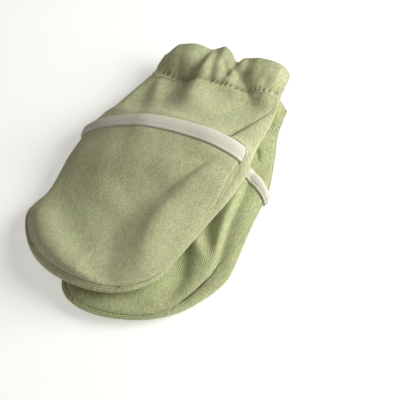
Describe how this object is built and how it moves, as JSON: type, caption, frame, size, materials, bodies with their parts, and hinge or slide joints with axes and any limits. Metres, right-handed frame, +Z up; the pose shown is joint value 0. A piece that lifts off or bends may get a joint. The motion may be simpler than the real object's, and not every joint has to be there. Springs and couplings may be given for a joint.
{
  "type": "pair of baby mittens",
  "caption": "Pair of knitted baby mittens with fold-over flaps, laid flat one on the other, with bound flap edges and gathered, frilled wrists.",
  "frame": {"origin": "centre of the bounding box's underside, on the surface that the lower mitten lies on", "axes": "+Z up from the surface, +Y from the fingers to the wrists, +X to the right of that"},
  "size_m": [0.1264, 0.1522, 0.025],
  "materials": {
    "sage_knit": "matt, fine interlock knit with a soft surface",
    "cream_binding": "matt, fine rib knit binding"
  },
  "bodies": {
    "root": {"lower_back": "sage_knit", "lower_wrist": "sage_knit", "lower_flap": "sage_knit", "lower_binding": "cream_binding", "upper_back": "sage_knit", "upper_wrist": "sage_knit", "upper_flap": "sage_knit", "upper_binding": "cream_binding"}
  },
  "joints": []
}
